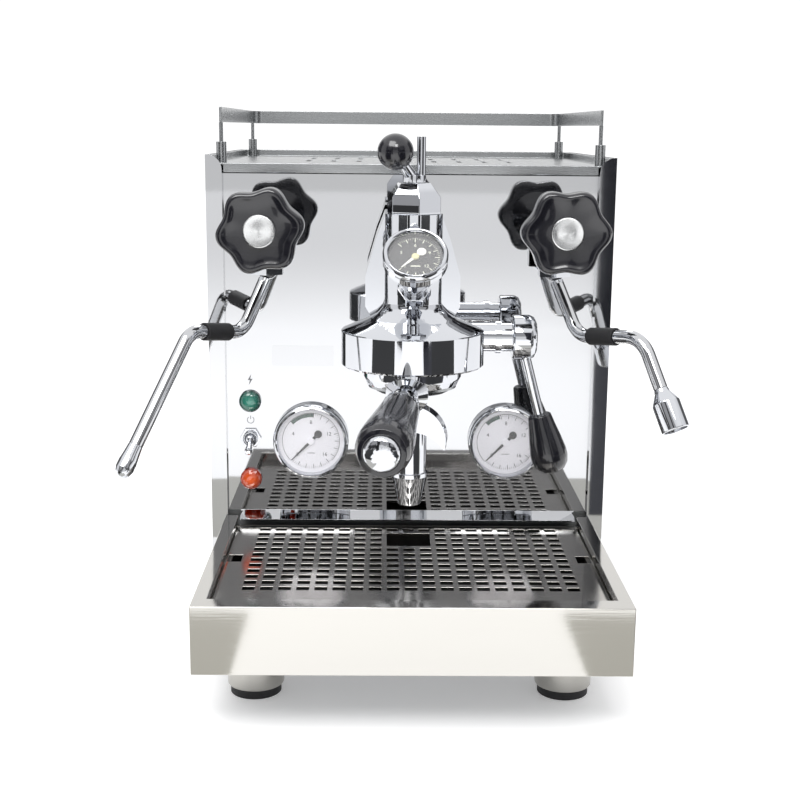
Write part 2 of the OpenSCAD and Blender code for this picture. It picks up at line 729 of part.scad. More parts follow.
module spindle(s) {
    color("#a8aaac") along_y(s * valve_x, valve_z, -knob_y - 12, -valve_end + 36, spindle_r);
}
module left_spindle() { spindle(-1); }
module right_spindle() { spindle(1); }

// Six-lobed knob, dished on its front face
module knob(s, a) {
    color("#17171c") translate([s * valve_x, -knob_y, valve_z]) rotate([90, 0, 0]) difference() {
        union() {
            rotate([0, 0, a]) translate([0, 0, 4]) linear_extrude(knob_t - 4)
                polygon([for (i = [0:71]) turn(5 * i, knob_r - 2.1 + 2.1 * cos(30 * i))]);
            cylinder(r1 = 12, r2 = 22, h = 6);
        }
        translate([0, 0, -1]) cylinder(r = spindle_r + 0.02, h = 13);
        translate([0, 0, knob_t - 1.5]) cylinder(r = 11.1, h = 2);
    }
}

module left_knob() { knob(-1, 10); }
module right_knob() { knob(1, 0); }

module knob_cap(s) {
    color("#d5d6d6") translate([s * valve_x, -knob_y, valve_z]) rotate([90, 0, 0])
        translate([0, 0, knob_t - 1.5]) rotate_extrude()
            polygon([[0, 0], [11, 0], [11, 1.9], [10, 2.4], [0, 2.9]]);
}

module left_knob_cap() { knob_cap(-1); }
module right_knob_cap() { knob_cap(1); }

module wand_ball(s) {
    color("#c0c2c4") translate([s * valve_x, -outlet_y, ball_z]) sphere(r = ball_r);
}
module left_wand_ball() { wand_ball(-1); }
module right_wand_ball() { wand_ball(1); }

function unit(v) = v / norm(v);
function heading(c, i) = unit(c[i + 1] - c[i]);
function bend_angle(c, i) = acos(heading(c, i - 1) * heading(c, i));
function side_of(c, i) = sign(cross(heading(c, i - 1), heading(c, i)));
function rot2(v, a) = [v[0] * cos(a) - v[1] * sin(a), v[0] * sin(a) + v[1] * cos(a)];
// Points along one rounded corner
function bend_points(c, i, r, n) =
    let (a = bend_angle(c, i), h = heading(c, i - 1), q = side_of(c, i),
        start = c[i] - h * r * tan(a / 2), centre = start + r * q * [-h[1], h[0]])
    [for (k = [0:n]) [centre + rot2(start - centre, q * a * k / n), rot2(h, q * a * k / n)]];
function wand_points(c, b) = concat([[c[0], heading(c, 0)]], bend_points(c, 1, b[0], 9),
    bend_points(c, 2, b[1], 9), [[c[3], heading(c, 2)]]);

// A round tube of radius r through points and headings in an upright plane
module sweep(rows, r, n = 20) {
    m = len(rows);
    points = [for (p = rows) for (k = [0:n - 1])
        let (a = 360 * k / n, o = r * cos(a))
        [p[0][0] - o * p[1][1], r * sin(a), p[0][1] + o * p[1][0]]];
    faces = concat([[for (k = [n - 1:-1:0]) k]],
        [for (i = [0:m - 2]) for (k = [0:n - 1])
            [i * n + k, i * n + (k + 1) % n, (i + 1) * n + (k + 1) % n, (i + 1) * n + k]],
        [[for (k = [0:n - 1]) (m - 1) * n + k]]);
    polyhedron(points = points, faces = faces, convexity = 4);
}

module on_wand(s) {
    translate([s * valve_x, -outlet_y, 0]) flipped(s) rotate([0, 0, -wand_turn]) children();
}

// Placed at a wand's end, with +Z along its last stretch
module at_tip(s, c) {
    h = heading(c, 2);
    on_wand(s) translate([c[3][0], 0, c[3][1]]) rotate([0, atan2(h[0], h[1]), 0]) children();
}

module wand_pipe(s, c, b) { color("#c3c5c7") on_wand(s) sweep(wand_points(c, b), pipe_r); }
module left_wand_pipe() { wand_pipe(-1, steam_corners, steam_bends); }
module right_wand_pipe() { wand_pipe(1, water_corners, water_bends); }

module wand_sleeve(s, c, u) {
    h = heading(c, 1);
    color("#161618") on_wand(s) translate([u, 0, c[1][1] + (u - c[1][0]) * h[1] / h[0]])
        rotate([0, atan2(h[0], h[1]), 0]) difference() {
            cylinder(r = pipe_r + sleeve_t, h = sleeve_l);
            translate([0, 0, -1]) cylinder(r = pipe_r + run_gap, h = sleeve_l + 2);
        }
}

module left_wand_sleeve() { wand_sleeve(-1, steam_corners, steam_sleeve); }
module right_wand_sleeve() { wand_sleeve(1, water_corners, water_sleeve); }

module steam_tip() {
    color("#c9cbcd") at_tip(-1, steam_corners) rotate_extrude() polygon([[0, 0], [pipe_r, 0],
        [pipe_r + 0.7, 7], [pipe_r + 1.3, 12], [pipe_r + 1.3, 17], [pipe_r + 0.2, 20.6], [pipe_r - 2, 22.8],
        [0, 23.5]]);
}

module water_tip() {
    color("#c9cbcd") at_tip(1, water_corners) rotate_extrude() polygon([[0, 0], [pipe_r, 0],
        [pipe_r + 0.6, 3], [8.5, 8.5], [9.4, 10.5], [9.4, 28.9], [8.9, 29.6], [7.8, 29.6],
        [7.8, 27.4], [0, 27.4]]);
}

// ---- inside the casing ----

module boiler() {
    color("#b87333") translate([-75, 88, bell_z + 12]) rotate([0, 90, 0]) {
        cylinder(r = 52, h = 180);
        translate([0, 0, 174]) cylinder(r = 58, h = 8);
        translate([0, 0, 182]) cylinder(r = 14, h = 14, $fn = 6);
        translate([0, 0, -5]) cylinder(r = 46, h = 5);
    }
}

module pump() {
    color("#7d8084") translate([-120, 120, floor_z]) {
        box([12, -22, 0], [70, 22, 16]);
        translate([0, 0, 36]) rotate([0, 90, 0]) {
            translate([0, 0, 10]) cylinder(r = 28, h = 62);
            translate([0, 0, 72]) cylinder(r = 20, h = 34);
            cylinder(r = 6, h = 10);
        }
    }
}

module water_tank() {
    w = half_w - 35;
    color("#dfe6ea") difference() {
        box([-w, body_d - 105, floor_z + 75], [w, body_d - 12, cup_z - 16]);
        box([-w + 2.5, body_d - 102.5, floor_z + 78], [w - 2.5, body_d - 14.5, cup_z]);
    }
}

module control_box() {
    color("#4a4d52") translate([0, 0, floor_z]) {
        box([25, 60, 0], [120, 150, 46]);
        box([40, 70, 46], [70, 100, 62]);
    }
}

placed() base_frame();
placed() front_panel();
placed() left_side_panel();
placed() right_side_panel();
placed() back_panel();
placed() cup_tray();
placed() cup_rail();
placed() rail_posts();
placed() foot_cups();
placed() foot_pads();
placed() drip_tray();
placed() drip_grille();
placed() green_lamp();
placed() orange_lamp();
placed() toggle_body();
placed() toggle_lever();
placed() panel_gauge_cases();
placed() panel_gauge_dials();
placed() panel_gauge_glasses();
placed() left_needle();
placed() right_needle();
placed() group_body();
placed() group_cap();
placed() flow_spindle();
placed() flow_ball();
placed() gauge_stem();
placed() group_gauge_case();
placed() group_gauge_dial();
placed() group_gauge_needle();
placed() group_gauge_glass();
placed() brew_lever();
placed() lever_grip();
placed() drain_nozzle();
placed() shower_screen();
placed() group_gasket();
placed() portafilter_body();
placed() filter_basket();
placed() portafilter_spout();
placed() portafilter_grip();
placed() portafilter_cap();
placed() valve_bodies();
placed() left_spindle();
placed() right_spindle();
placed() left_knob();
placed() right_knob();
placed() left_knob_cap();
placed() right_knob_cap();
placed() left_wand_ball();
placed() right_wand_ball();
placed() left_wand_pipe();
placed() right_wand_pipe();
placed() left_wand_sleeve();
placed() right_wand_sleeve();
placed() steam_tip();
placed() water_tip();
placed() boiler();
placed() pump();
placed() water_tank();
placed() control_box();
placed() inlet_socket();
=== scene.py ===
import json
import math
import bpy
from mathutils import Matrix, Vector


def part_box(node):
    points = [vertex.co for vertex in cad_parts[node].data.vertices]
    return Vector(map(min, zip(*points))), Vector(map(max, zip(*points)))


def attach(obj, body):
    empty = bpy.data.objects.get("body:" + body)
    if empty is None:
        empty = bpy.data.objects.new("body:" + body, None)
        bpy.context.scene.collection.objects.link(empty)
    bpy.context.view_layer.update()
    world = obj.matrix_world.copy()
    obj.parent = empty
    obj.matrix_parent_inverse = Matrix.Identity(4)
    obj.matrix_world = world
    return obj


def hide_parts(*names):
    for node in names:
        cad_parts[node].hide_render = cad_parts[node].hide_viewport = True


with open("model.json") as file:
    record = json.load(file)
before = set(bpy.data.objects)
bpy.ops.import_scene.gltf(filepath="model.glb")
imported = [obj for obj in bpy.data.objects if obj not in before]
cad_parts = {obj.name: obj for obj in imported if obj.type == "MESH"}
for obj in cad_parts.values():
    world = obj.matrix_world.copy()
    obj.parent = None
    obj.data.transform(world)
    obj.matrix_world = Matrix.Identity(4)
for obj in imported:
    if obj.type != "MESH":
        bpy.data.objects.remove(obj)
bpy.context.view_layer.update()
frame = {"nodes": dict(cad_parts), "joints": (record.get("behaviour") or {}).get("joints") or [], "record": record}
nodes = frame["nodes"]

# ---- camera, floor and light ----
# A view from the front, a little left of the middle and just above the cup tray, so the tray's
# grille shows and the casing's sides don't. The lens covers the machine with a white margin.
flange_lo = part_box("left_side_panel")[0]
mid = (flange_lo[0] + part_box("right_side_panel")[1][0]) / 2      # the casing's middle plane
front = flange_lo[1]                                             # the plane of its front flanges
aside, away, height = 0.01996, 0.96331, 0.37864
yaw, pitch, roll = 0.0138, 0.2054, 0.0095
eye = Vector((mid - aside, front - away, height))
bpy.ops.object.camera_add(location=eye)
camera = bpy.context.object
camera.name = "camera"
camera.data.lens = 58.65
camera.data.sensor_width = 36
camera.data.clip_start = 0.01
camera.matrix_world = (Matrix.Translation(eye) @ Matrix.Rotation(-yaw, 4, "Z")
                       @ Matrix.Rotation(math.pi / 2 - pitch, 4, "X") @ Matrix.Rotation(roll, 4, "Z"))
scene = bpy.context.scene
scene.camera = camera
scene.view_settings.view_transform = "Standard"


def linear(colour):
    """A hex sRGB colour as linear red, green, blue and alpha."""
    parts = [int(colour[i:i + 2], 16) / 255 for i in (1, 3, 5)]
    return [p / 12.92 if p <= 0.04045 else ((p + 0.055) / 1.055) ** 2.4 for p in parts] + [1.0]


def add(tree, kind, settings=(), links=()):
    """Adds a node, sets its properties and inputs, and links the inputs that are given a socket."""
    made = tree.nodes.new(kind)
    for key, value in dict(settings).items():
        if isinstance(key, str) and hasattr(made, key) and key not in made.inputs:
            setattr(made, key, value)
        else:
            made.inputs[key].default_value = value
    for key, socket in dict(links).items():
        tree.links.new(socket, made.inputs[key])
    return made


def finish_of(name, **surface):
    """A new material with its Principled shader's own sockets set."""
    made = bpy.data.materials.new(name)
    made.use_nodes = True
    shader = made.node_tree.nodes["Principled BSDF"]
    for key, value in surface.items():
        shader.inputs[key.replace("_", " ").title()].default_value = value
    return made


def card(name, corners, material):
    """A flat board of the studio with the given corners, kept out of view but not out of reflections."""
    bpy.ops.object.select_all(action="DESELECT")
    bpy.ops.mesh.primitive_circle_add(vertices=len(corners), radius=1, fill_type="NGON")
    made = bpy.context.object
    made.name = name
    for vertex, corner in zip(made.data.vertices, corners):
        vertex.co = corner
    made.data.materials.append(material)
    made.visible_camera = False
    made.visible_shadow = False


# The floor is white paper, lit so that only a soft shadow stays at the feet.
bpy.ops.object.select_all(action="DESELECT")
bpy.ops.mesh.primitive_plane_add(size=14, location=(0, 0, 0))
floor = bpy.context.object
floor.name = "floor"
paper = finish_of("studio_paper", base_color=linear("#f6f6f6"), roughness=0.9,
                  emission_color=linear("#ffffff"), emission_strength=0.26)
floor.data.materials.append(paper)

# Boards that only reflections see give the chrome its dark streaks: some lie on the floor, each a
# millimetre above the last, and two stand upright well in front of the machine.
grey_board = finish_of("grey_board", base_color=linear("#b6b5af"), roughness=0.8)
dark_board = finish_of("dark_board", base_color=linear("#0f1012"), roughness=0.8)
navy_board = finish_of("navy_board", base_color=linear("#23242c"), roughness=0.8)
upright_y = front - 1.5
for side, name in ((-1, "left"), (1, "right")):
    card(f"{name}_floor_board", [(mid + side * x, front + y, 0.001) for x, y in
         ((0.126, -0.212), (0.126, -0.42), (0.6, -0.42), (0.6, -0.212))], grey_board)
card("right_long_board", [(mid + x, front + y, 0.002) for x, y in
     ((0.187, -0.288), (0.385, -1.5), (1.1, -1.5), (0.8, -0.288))], navy_board)
for side, name in ((-1, "left"), (1, "right")):
    card(f"{name}_dark_floor", [(mid + side * x, front + y, 0.003) for x, y in
         ((0.225, -0.44), (2.6, -5.1), (5.2, -2.6), (0.46, -0.225))], dark_board)
card("right_upright_board", [(mid + x, upright_y, z) for x, z in
     ((0.385, 0), (0.62, 0), (0.62, 1.1), (0.385, 1.1))], navy_board)
card("left_upright_board", [(mid - x, upright_y, z) for x, z in
     ((0.44, 0), (0.68, 0), (0.68, 1.3), (0.44, 1.3))], dark_board)

# A white room: bright behind the machine and overhead, with dark gaps beside and behind that draw
# the edges of tubes and rings, and a greyer strip low on the wall in front.
world = bpy.data.worlds.new("studio")
scene.world = world
world.use_nodes = True
room = world.node_tree
direction = add(room, "ShaderNodeTexCoord")
split = add(room, "ShaderNodeSeparateXYZ", links={"Vector": direction.outputs["Generated"]})
ahead = add(room, "ShaderNodeMath", {"operation": "MULTIPLY", 1: -1.0}, {0: split.outputs["Y"]})
azimuth = add(room, "ShaderNodeMath", {"operation": "ARCTAN2"}, {0: split.outputs["X"], 1: ahead.outputs[0]})
aside_by = add(room, "ShaderNodeMath", {"operation": "ABSOLUTE"}, {0: azimuth.outputs[0]})
share = add(room, "ShaderNodeMath", {"operation": "DIVIDE", 1: math.pi}, {0: aside_by.outputs[0]})
walls = add(room, "ShaderNodeValToRGB", links={"Fac": share.outputs[0]})
ramp = walls.color_ramp.elements
ramp[0].position, ramp[0].color = 0.0, (0.9, 0.9, 0.9, 1)
ramp[1].position, ramp[1].color = 1.0, (1.1, 1.1, 1.1, 1)
for degrees, level in ((24, 0.9), (28, 0.05), (60, 0.05), (65, 0.95), (98, 0.95), (106, 0.12), (138, 0.15),
                       (146, 1.05)):
    stop = ramp.new(degrees / 180)
    stop.color = (level, level, level * 1.02, 1)
ceiling = add(room, "ShaderNodeMapRange", {"From Min": 0.5, "From Max": 0.62}, {"Value": split.outputs["Z"]})
dome = add(room, "ShaderNodeMix", {"data_type": "RGBA", 7: (1.15, 1.15, 1.16, 1)},
           {"Factor": ceiling.outputs[0], 6: walls.outputs["Color"]})
low = add(room, "ShaderNodeMath", {"operation": "COMPARE", 1: 0.36, 2: 0.16}, {0: split.outputs["Z"]})
near = add(room, "ShaderNodeMath", {"operation": "LESS_THAN", 1: 0.3}, {0: share.outputs[0]})
strip = add(room, "ShaderNodeMath", {"operation": "MULTIPLY"}, {0: low.outputs[0], 1: near.outputs[0]})
wall = add(room, "ShaderNodeMix", {"data_type": "RGBA", 7: (0.42, 0.42, 0.43, 1)},
           {"Factor": strip.outputs[0], 6: dome.outputs[2]})
room.links.new(wall.outputs[2], room.nodes["Background"].inputs["Color"])
room.nodes["Background"].inputs["Strength"].default_value = 1.0

# Two softboxes: one high on the left, one higher in front that lights the tray and the knobs.
for name, place, size, energy, tip, turn in (
        ("softbox", (mid - 0.5, front - 0.9, 1.5), 0.9, 14, 32, -28),
        ("front_softbox", (mid + 0.15, front - 1.7, 1.75), 0.6, 12, 46, 5)):
    bpy.ops.object.light_add(type="AREA", location=place)
    light = bpy.context.object
    light.name = name
    light.data.size = size
    light.data.energy = energy
    light.rotation_euler = (math.radians(tip), 0, math.radians(turn))

# ---- casing ----
# Folded stainless sheet with a mirror polish on the front and the two sides, whose flanges wrap
# round the front edge. It is screwed to a zinc plated frame and closed by a brushed back sheet.
slots = {s["node"]: s["material_slot"] for s in frame["record"]["subparts"]}
body_of = {n: b for b, held in frame["record"]["behaviour"]["bodies"].items() for n in held}
even = (1, 1, 1)


def vary(material, scale, lines, low, high, bump=0.0):
    """Roughness from low to high by a noise stretched by `lines`, with a slight bump."""
    tree = material.node_tree
    shader = tree.nodes["Principled BSDF"]
    where = add(tree, "ShaderNodeTexCoord")
    stretch = add(tree, "ShaderNodeMapping", {"Scale": lines}, {"Vector": where.outputs["Object"]})
    noise = add(tree, "ShaderNodeTexNoise", {"Scale": scale, "Detail": 3.0}, {"Vector": stretch.outputs[0]})
    level = add(tree, "ShaderNodeMapRange", {"To Min": low, "To Max": high}, {"Value": noise.outputs["Fac"]})
    tree.links.new(level.outputs[0], shader.inputs["Roughness"])
    if bump:
        lift = add(tree, "ShaderNodeBump", {"Strength": bump, "Distance": 0.0002},
                   {"Height": noise.outputs["Fac"]})
        tree.links.new(lift.outputs[0], shader.inputs["Normal"])


def wear(finish, *names):
    """Puts a finish on carried-over nodes."""
    for name in names:
        for held in nodes[name].material_slots:
            held.material = finish


def wear_slot(finish, slot):
    """Puts a finish on every carried-over node of one material slot."""
    wear(finish, *(name for name in nodes if slots[name] == slot))


def softened(name, width):
    """A merged copy of a node, its sharp edges broken as polishing and moulding leave them."""
    bpy.ops.object.select_all(action="DESELECT")
    source = nodes[name]
    made = source.copy()
    made.data = source.data.copy()
    made.name = name + "_finished"
    for key in list(made.keys()):
        del made[key]
    made.parent = None
    scene.collection.objects.link(made)
    made.matrix_world = source.matrix_world.copy()
    bpy.context.view_layer.objects.active = made
    made.select_set(True)
    bpy.ops.object.transform_apply(location=True, rotation=True, scale=True)
    bpy.ops.object.mode_set(mode="EDIT")
    bpy.ops.mesh.select_all(action="SELECT")
    bpy.ops.mesh.remove_doubles(threshold=1e-6)
    bpy.ops.mesh.dissolve_limited(angle_limit=math.radians(0.5))
    bpy.ops.mesh.normals_make_consistent(inside=False)
    bpy.ops.object.mode_set(mode="OBJECT")
    rounding = made.modifiers.new("broken_edges", "BEVEL")
    rounding.width = width
    rounding.segments = 2
    rounding.limit_method = "ANGLE"
    rounding.angle_limit = math.radians(38)
    bpy.ops.object.modifier_apply(modifier=rounding.name)
    bpy.ops.object.shade_smooth_by_angle(angle=math.radians(32))
    level = made.modifiers.new("level_flats", "WEIGHTED_NORMAL")
    level.keep_sharp = True
    level.weight = 50
    bpy.ops.object.modifier_apply(modifier=level.name)
    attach(made, body_of[name])
    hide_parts(name)
    return made


# Mirror polished stainless: near-perfect reflections with the faintest ripple of rolled sheet.
mirror = finish_of("mirror_stainless", base_color=linear("#c6c7c9"), metallic=1.0)
vary(mirror, 9, even, 0.015, 0.05, 0.02)
wear_slot(mirror, "mirror_steel")
# Zinc plated steel: a dull grey metal with faint spangles.
zinc = finish_of("zinc_plate", base_color=linear("#9a9c9e"), metallic=1.0)
vary(zinc, 120, even, 0.3, 0.5, 0.2)
wear_slot(zinc, "zinc_plated_steel")
for name, width in (("left_side_panel", 0.0005), ("right_side_panel", 0.0005), ("front_panel", 0.0004)):
    softened(name, width)

# ---- cup tray and rail ----
# A folded stainless tray that lies loose on the casing. Four turned posts with collars are screwed
# to it and carry a flat rail bent round three sides. Brushing along X blurs what they reflect.
brushed = finish_of("brushed_stainless", base_color=linear("#a4a6a7"), metallic=1.0)
vary(brushed, 40, (1, 30, 30), 0.18, 0.34, 0.25)
wear_slot(brushed, "brushed_steel")
for name, width in (("cup_tray", 0.0005), ("rail_posts", 0.0003), ("cup_rail", 0.0003)):
    softened(name, width)

# ---- feet ----
# Spun stainless cups, bolted under the casing, each with a black rubber pad pressed into it.
# The cups are slightly satin, and the rubber is matt with a fine grain.
foot_steel = finish_of("satin_foot_stainless", base_color=linear("#b1afaa"), metallic=1.0)
vary(foot_steel, 40, (1, 1, 20), 0.12, 0.2, 0.08)
wear(foot_steel, "foot_cups")
rubber = finish_of("black_rubber", base_color=linear("#1b1b1d"))
vary(rubber, 900, even, 0.5, 0.7, 0.3)
wear_slot(rubber, "black_rubber")
softened("foot_cups", 0.0005)

# ---- drip tray and grille ----
# A deep drawer of folded and welded stainless that slides under the group, with a loose punched
# grille laid in its top. Polished outside with fine rolling lines; inside, rougher where water dulls
# it, and darkened as painted shade for the recess under the grille.
tray_steel = finish_of("polished_tray_stainless", base_color=linear("#c9c7c2"), metallic=1.0)
vary(tray_steel, 30, (1, 14, 34), 0.05, 0.13, 0.08)
wear(tray_steel, "drip_tray")
# Dark base colour: painted shade inside the sump, under the grille. The higher roughness is the water's dulling.
sump_steel_painted_shade = finish_of("dulled_sump_stainless_painted_shade", base_color=linear("#4c4b49"), metallic=1.0)
vary(sump_steel_painted_shade, 50, even, 0.35, 0.55, 0.2)
grille_steel = finish_of("polished_grille_stainless", base_color=linear("#bebbb6"), metallic=1.0)
vary(grille_steel, 60, even, 0.1, 0.2, 0.05)
wear(grille_steel, "drip_grille")
softened("drip_grille", 0.0002)
tray = softened("drip_tray", 0.0006)
tray.data.materials.append(sump_steel_painted_shade)
# Faces inside the sump, below the grille's top, take the darkened finish: painted shade for the recess.
sump_half_width, sump_reach = 0.1265, 0.186
grille_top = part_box("drip_grille")[1][2]
for face in tray.data.polygons:
    x, y, z = face.center
    if abs(x - mid) < sump_half_width and y > front - sump_reach and z < grille_top:
        face.material_index = 1

# ---- brew group, lever and portafilter ----
# Cast and turned brass, plated with bright chromium: the bell and column, the hexagonal cap, the
# flow valve's spindle, the lever and the portafilter. Ball and grips are black phenolic mouldings.
chrome = finish_of("chromed_brass", base_color=linear("#d0d2d6"), metallic=1.0)
vary(chrome, 25, even, 0.02, 0.05, 0.015)
wear_slot(chrome, "chrome_plate")
# Phenolic comes glossy from its mould, with a clear skin over a deep black.
phenolic = finish_of("black_phenolic", base_color=linear("#111118"), coat_weight=0.6, coat_roughness=0.05)
vary(phenolic, 60, even, 0.16, 0.26, 0.03)
wear_slot(phenolic, "black_phenolic")
for name, width in (("group_body", 0.0008), ("group_cap", 0.0007), ("gauge_stem", 0.0006),
                    ("drain_nozzle", 0.0005), ("flow_spindle", 0.0005), ("flow_ball", 0.0001),
                    ("brew_lever", 0.0006), ("lever_grip", 0.0004), ("portafilter_body", 0.0007),
                    ("portafilter_spout", 0.0007), ("portafilter_grip", 0.0005),
                    ("portafilter_cap", 0.0004)):
    softened(name, width)

# ---- valves and wands ----
# Chromed valve bodies behind the knobs, each with a ball joint from which a bent, polished steel
# pipe hangs. A rubber sleeve is pushed over the pipe to hold it by, and a tip is screwed to its end.
for name, width in (("valve_bodies", 0.0006), ("left_wand_pipe", 0.0001), ("right_wand_pipe", 0.0001),
                    ("left_wand_sleeve", 0.0005), ("right_wand_sleeve", 0.0005),
                    ("steam_tip", 0.0003), ("water_tip", 0.0005)):
    softened(name, width)

# ---- valve knobs ----
# Six-lobed black phenolic mouldings with rounded rims and a dished front, each on a conical
# skirt, with a spun aluminium cap pressed into the middle.


def settle(made, name, place, finish, slot, body, *stands_for):
    """Moves a piece made about the origin to its place, names it and ties it to its body."""
    made.name = name
    made.matrix_world = place
    bpy.ops.object.select_all(action="DESELECT")
    bpy.context.view_layer.objects.active = made
    made.select_set(True)
    bpy.ops.object.transform_apply(location=True, rotation=True, scale=True)
    made.data.materials.clear()
    made.data.materials.append(finish)
    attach(made, body)
    if stands_for:
        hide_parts(*stands_for)


def lathe(outline, steps=72, smooth=34):
    """A closed solid turned about Z from (radius, height) pairs in millimetres."""
    bpy.ops.object.select_all(action="DESELECT")
    bpy.ops.mesh.primitive_circle_add(vertices=len(outline), radius=1)
    made = bpy.context.object
    for vertex, (r, z) in zip(made.data.vertices, outline):
        vertex.co = (r / 1000, 0, z / 1000)
    bpy.ops.object.mode_set(mode="EDIT")
    bpy.ops.mesh.select_all(action="SELECT")
    bpy.ops.mesh.spin(steps=steps, angle=2 * math.pi, center=(0, 0, 0), axis=(0, 0, 1))
    bpy.ops.mesh.select_all(action="SELECT")
    bpy.ops.mesh.remove_doubles(threshold=1e-6)
    bpy.ops.mesh.normals_make_consistent(inside=False)
    bpy.ops.object.mode_set(mode="OBJECT")
    if smooth:
        bpy.ops.object.shade_smooth_by_angle(angle=math.radians(smooth))
    return made


def joined(pieces):
    """Several pieces made into one."""
    bpy.ops.object.select_all(action="DESELECT")
    for piece in pieces:
        piece.select_set(True)
    bpy.context.view_layer.objects.active = pieces[0]
    bpy.ops.object.join()
    return bpy.context.object


# Spun aluminium: fine rings that pull the highlight into a fan.
spun = finish_of("spun_aluminium", base_color=linear("#dcdddd"), metallic=1.0, anisotropic=0.85)
vary(spun, 400, even, 0.2, 0.32, 0.05)
rings = add(spun.node_tree, "ShaderNodeTangent", {"direction_type": "RADIAL", "axis": "Y"})
spun.node_tree.links.new(rings.outputs[0], spun.node_tree.nodes["Principled BSDF"].inputs["Tangent"])
wear_slot(spun, "spun_aluminium")
face_on = Matrix.Rotation(math.pi / 2, 4, "X")      # turns a piece's top to face the user
lobes, lobe_depth, rim_points = 6, 2.1, 120         # depth in millimetres, from the middle of a wave
first_size, first_height = 0.9, 4.2                 # the back of the moulding, against its widest
for side, turned_by in (("left", 10), ("right", 0)):
    lo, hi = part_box(f"{side}_knob")
    spindle_lo, spindle_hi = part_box(f"{side}_spindle")
    axis_x, axis_z = (spindle_lo[0] + spindle_hi[0]) / 2, (spindle_lo[2] + spindle_hi[2]) / 2
    thick = (hi[1] - lo[1]) * 1000
    reach = max(hi[0] - lo[0], hi[2] - lo[2]) / 2 * 1000 + 0.2
    bpy.ops.object.select_all(action="DESELECT")
    bpy.ops.mesh.primitive_circle_add(vertices=rim_points, radius=reach / 1000, fill_type="NGON")
    knob = bpy.context.object
    for k, vertex in enumerate(knob.data.vertices):
        a = 2 * math.pi * k / rim_points
        r = (reach - lobe_depth + lobe_depth * math.cos(lobes * a)) / 1000 * first_size
        a += math.radians(turned_by)
        vertex.co = (r * math.cos(a), r * math.sin(a), first_height / 1000)
    bpy.ops.object.mode_set(mode="EDIT")
    bpy.ops.mesh.select_all(action="SELECT")
    size, height = first_size, first_height
    for new_size, new_height in ((0.955, 4.6), (0.985, 5.6), (0.997, 7.5), (1.0, 10), (1.0, thick - 6),
                                 (0.994, thick - 3.6), (0.978, thick - 1.8), (0.95, thick - 0.6),
                                 (0.91, thick - 0.1), (0.875, thick), (0.84, thick - 0.25),
                                 (0.8, thick - 0.8), (0.7, thick - 1.4), (0.55, thick - 1.8),
                                 (0.42, thick - 2.0)):
        rise = (new_height - height) / 1000
        bpy.ops.mesh.extrude_region_move(TRANSFORM_OT_translate={"value": (0, 0, rise)})
        bpy.ops.transform.resize(value=(new_size / size, new_size / size, 1), center_override=(0, 0, 0))
        size, height = new_size, new_height
    bpy.ops.mesh.select_all(action="SELECT")
    bpy.ops.mesh.normals_make_consistent(inside=False)
    bpy.ops.object.mode_set(mode="OBJECT")
    bpy.ops.object.shade_smooth_by_angle(angle=math.radians(40))
    skirt = lathe([(4.1, 0), (11.2, 0), (12, 0.6), (21, 5), (21.4, 6.2), (4.1, 6.2)])
    place = Matrix.Translation((axis_x, hi[1], axis_z)) @ face_on
    settle(joined([knob, skirt]), f"{side}_knob_moulding", place, phenolic, "black_phenolic",
           f"{side}_valve", f"{side}_knob")
    cap = lathe([(0, thick - 2.0), (11, thick - 2.0), (11, thick + 0.6), (10.7, thick + 1.0),
                 (10.1, thick + 1.2), (9.6, thick + 1.05), (5, thick + 1.3), (0, thick + 1.4)], 96)
    settle(cap, f"{side}_knob_disc", place, spun, "spun_aluminium", f"{side}_valve", f"{side}_knob_cap")

# ---- gauges ----
# Chromed cans with a stepped, rolled bezel, enamelled dials, painted needles and flat glass. The
# dials are printed with ticks and a few figures, and the white ones with a coloured arc too. The
# printing stands off its dial by less than a hair.
# The white enamel is given a faint emission: a painted glow that lifts the dials where the can and glass shade
# them.
dial_white_painted_glow = finish_of("white_dial_enamel_painted_glow", base_color=linear("#f6f5fb"),
                       emission_color=linear("#f6f5fb"), emission_strength=0.16)
vary(dial_white_painted_glow, 200, even, 0.35, 0.5)
wear_slot(dial_white_painted_glow, "white_dial")
dial_slate = finish_of("slate_dial_enamel", base_color=linear("#12151b"))
vary(dial_slate, 200, even, 0.35, 0.5)
wear_slot(dial_slate, "slate_dial")
# Needle paints are half matt, so that a needle never flashes against its dial.
dark_paint = finish_of("dark_needle_paint", base_color=linear("#26262b"))
vary(dark_paint, 300, even, 0.3, 0.45)
wear_slot(dark_paint, "dark_needle")
white_paint = finish_of("white_needle_paint", base_color=linear("#f2f2ea"))
vary(white_paint, 300, even, 0.3, 0.45)
wear_slot(white_paint, "white_needle")
# Flat window glass, nearly invisible but for its reflection.
glass = finish_of("gauge_glass", base_color=linear("#ffffff"), metallic=0.0, alpha=0.1)
vary(glass, 30, even, 0.0, 0.03)
wear_slot(glass, "gauge_glass")
# Matt printing inks, for the white dials and for the slate one.
ink = finish_of("black_dial_ink", base_color=linear("#2a2b33"))
vary(ink, 300, even, 0.4, 0.55)
arc_ink = finish_of("green_grey_dial_ink", base_color=linear("#4e6a62"))
vary(arc_ink, 300, even, 0.4, 0.55)
pale_ink = finish_of("white_dial_ink", base_color=linear("#e9ead8"))
vary(pale_ink, 300, even, 0.4, 0.55)


def flat_shape(corners):
    """A thin printed shape facing the user, from (x, z) corners in millimetres."""
    bpy.ops.object.select_all(action="DESELECT")
    bpy.ops.mesh.primitive_circle_add(vertices=len(corners), radius=1, fill_type="NGON")
    made = bpy.context.object
    for vertex, (x, z) in zip(made.data.vertices, corners):
        vertex.co = (x / 1000, 0, z / 1000)
    bpy.ops.object.mode_set(mode="EDIT")
    bpy.ops.mesh.select_all(action="SELECT")
    bpy.ops.mesh.extrude_region_move(TRANSFORM_OT_translate={"value": (0, -0.00006, 0)})
    bpy.ops.mesh.select_all(action="SELECT")
    bpy.ops.mesh.normals_make_consistent(inside=False)
    bpy.ops.object.mode_set(mode="OBJECT")
    return made


